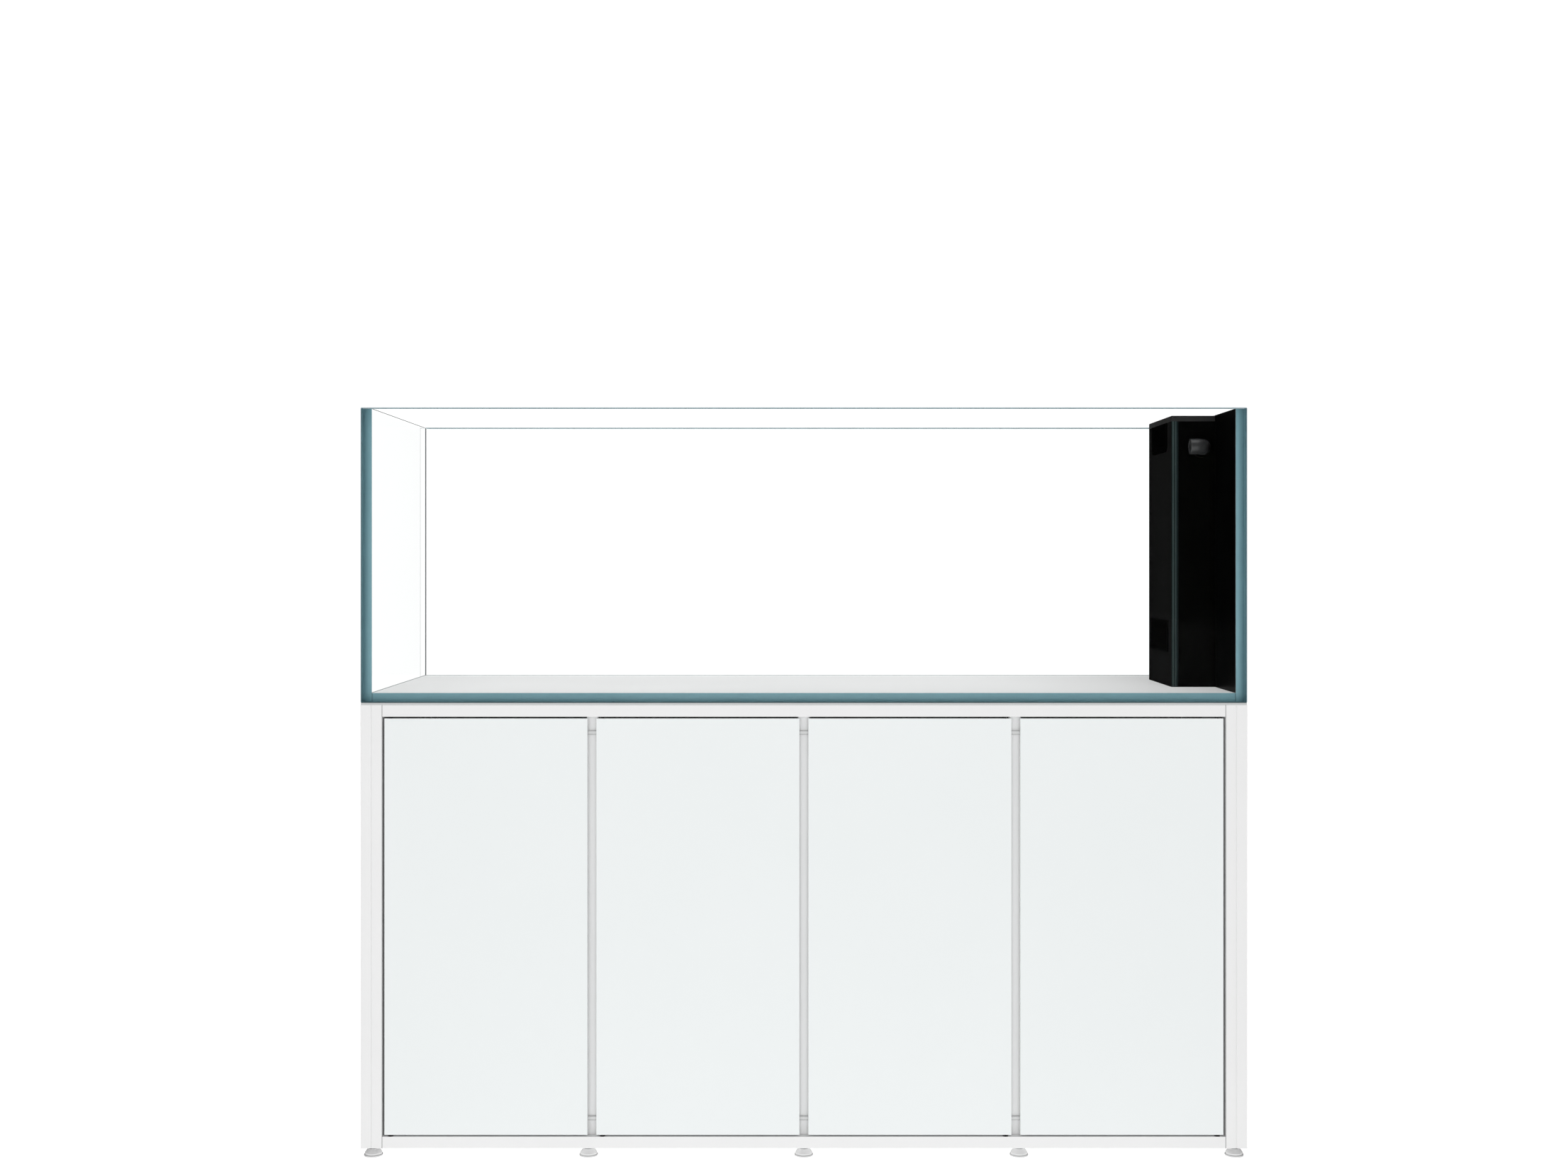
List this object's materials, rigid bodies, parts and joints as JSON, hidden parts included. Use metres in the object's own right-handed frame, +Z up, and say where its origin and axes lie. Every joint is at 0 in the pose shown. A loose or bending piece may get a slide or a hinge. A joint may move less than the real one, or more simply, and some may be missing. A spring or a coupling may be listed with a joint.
{
  "type": "aquarium on stand",
  "caption": "Rimless clear glass aquarium with a black end overflow, on a white profile cabinet with pivot-hung gloss doors, a sump inside and levelling feet.",
  "frame": {"origin": "on the floor under the middle of the cabinet", "axes": "+X along the front towards the overflow end, -Y out of the front, +Z up"},
  "size_m": [1.8, 0.6, 1.524],
  "materials": {
    "frame": "white powder coat, satin",
    "zinc_steel": "zinc plated",
    "panel": "white gloss, flat polished",
    "board": "fine grained white board",
    "bush": "self-lubricating, matte",
    "foot": "white coated steel",
    "mat": "closed-cell foam",
    "glass": "clear, polished edges",
    "silicone": "satin",
    "film": "black gloss",
    "overflow": "black, polished",
    "plumbing": "grey moulded, satin",
    "lever": "red moulded",
    "sump_glass": "clear, ground edges",
    "pump": "black moulded"
  },
  "bodies": {
    "cabinet_and_tank": {"angle_brackets": "zinc_steel", "base_board": "board", "bottom_pane": "glass", "bottom_rail_front": "frame", "bottom_rail_rear": "frame", "bulkheads": "plumbing", "catch_plates": "zinc_steel", "cross_beams": "frame", "drain_lines": "plumbing", "end_film": "film", "end_rails": "frame", "foot_sockets": "zinc_steel", "front_pane": "glass", "intake_screen": "overflow", "left_pane": "glass", "levelling_mat": "mat", "mullions": "frame", "overflow_front_panel": "overflow", "overflow_rear_panel": "overflow", "overflow_weir_panel": "overflow", "pivot_bushes": "bush", "post_front_left": "frame", "post_front_right": "frame", "post_rear_left": "frame", "post_rear_right": "frame", "rear_pane": "glass", "rear_panels": "panel", "return_pipe": "plumbing", "return_pump": "pump", "right_pane": "glass", "side_panel_left": "panel", "side_panel_right": "panel", "silicone_seams": "silicone", "standpipes": "plumbing", "sump_tank": "sump_glass", "top_deck": "board", "top_rail_front": "frame", "top_rail_rear": "frame", "weir_comb": "overflow"},
    "door_1": {"door_1": "panel", "door_1_fittings": "zinc_steel"},
    "door_2": {"door_2": "panel", "door_2_fittings": "zinc_steel"},
    "door_3": {"door_3": "panel", "door_3_fittings": "zinc_steel"},
    "door_4": {"door_4": "panel", "door_4_fittings": "zinc_steel"},
    "foot_front_1": {"foot_front_1": "foot"},
    "foot_front_2": {"foot_front_2": "foot"},
    "foot_front_3": {"foot_front_3": "foot"},
    "foot_front_4": {"foot_front_4": "foot"},
    "foot_front_5": {"foot_front_5": "foot"},
    "foot_rear_1": {"foot_rear_1": "foot"},
    "foot_rear_2": {"foot_rear_2": "foot"},
    "foot_rear_3": {"foot_rear_3": "foot"},
    "foot_rear_4": {"foot_rear_4": "foot"},
    "foot_rear_5": {"foot_rear_5": "foot"},
    "overflow_lid": {"overflow_lid": "overflow"},
    "return_elbow": {"return_elbow": "overflow"},
    "valve_lever": {"valve_lever": "lever"}
  },
  "joints": [
    {"name": "door_1_swing", "type": "hinge", "parent": "cabinet_and_tank", "child": "door_1", "pos_m": [-0.8396, -0.294, 0.47], "axis": [0, 0, -1], "range_deg": [0, 110]},
    {"name": "door_2_swing", "type": "hinge", "parent": "cabinet_and_tank", "child": "door_2", "pos_m": [-0.4093, -0.294, 0.47], "axis": [0, 0, -1], "range_deg": [0, 110]},
    {"name": "door_3_swing", "type": "hinge", "parent": "cabinet_and_tank", "child": "door_3", "pos_m": [0.4093, -0.294, 0.47], "axis": [0, 0, 1], "range_deg": [0, 110]},
    {"name": "door_4_swing", "type": "hinge", "parent": "cabinet_and_tank", "child": "door_4", "pos_m": [0.8396, -0.294, 0.47], "axis": [0, 0, 1], "range_deg": [0, 110]},
    {"name": "foot_front_1_level", "type": "slide", "parent": "cabinet_and_tank", "child": "foot_front_1", "axis": [0, 0, 1], "range_m": [-0.015, 0]},
    {"name": "foot_front_2_level", "type": "slide", "parent": "cabinet_and_tank", "child": "foot_front_2", "axis": [0, 0, 1], "range_m": [-0.015, 0]},
    {"name": "foot_front_3_level", "type": "slide", "parent": "cabinet_and_tank", "child": "foot_front_3", "axis": [0, 0, 1], "range_m": [-0.015, 0]},
    {"name": "foot_front_4_level", "type": "slide", "parent": "cabinet_and_tank", "child": "foot_front_4", "axis": [0, 0, 1], "range_m": [-0.015, 0]},
    {"name": "foot_front_5_level", "type": "slide", "parent": "cabinet_and_tank", "child": "foot_front_5", "axis": [0, 0, 1], "range_m": [-0.015, 0]},
    {"name": "foot_rear_1_level", "type": "slide", "parent": "cabinet_and_tank", "child": "foot_rear_1", "axis": [0, 0, 1], "range_m": [-0.015, 0]},
    {"name": "foot_rear_2_level", "type": "slide", "parent": "cabinet_and_tank", "child": "foot_rear_2", "axis": [0, 0, 1], "range_m": [-0.015, 0]},
    {"name": "foot_rear_3_level", "type": "slide", "parent": "cabinet_and_tank", "child": "foot_rear_3", "axis": [0, 0, 1], "range_m": [-0.015, 0]},
    {"name": "foot_rear_4_level", "type": "slide", "parent": "cabinet_and_tank", "child": "foot_rear_4", "axis": [0, 0, 1], "range_m": [-0.015, 0]},
    {"name": "foot_rear_5_level", "type": "slide", "parent": "cabinet_and_tank", "child": "foot_rear_5", "axis": [0, 0, 1], "range_m": [-0.015, 0]},
    {"name": "overflow_lid_lift", "type": "slide", "parent": "cabinet_and_tank", "child": "overflow_lid", "axis": [0, 0, 1], "range_m": [0, 0.15]},
    {"name": "return_elbow_swivel", "type": "hinge", "parent": "cabinet_and_tank", "child": "return_elbow", "pos_m": [0.851, -0.12, 1.4545], "axis": [0, 1, 0], "range_deg": [-90, 90]},
    {"name": "valve_lever_turn", "type": "hinge", "parent": "cabinet_and_tank", "child": "valve_lever", "pos_m": [0.8409, -0.03, 0.69], "axis": [0, -1, 0], "range_deg": [0, 90]}
  ]
}
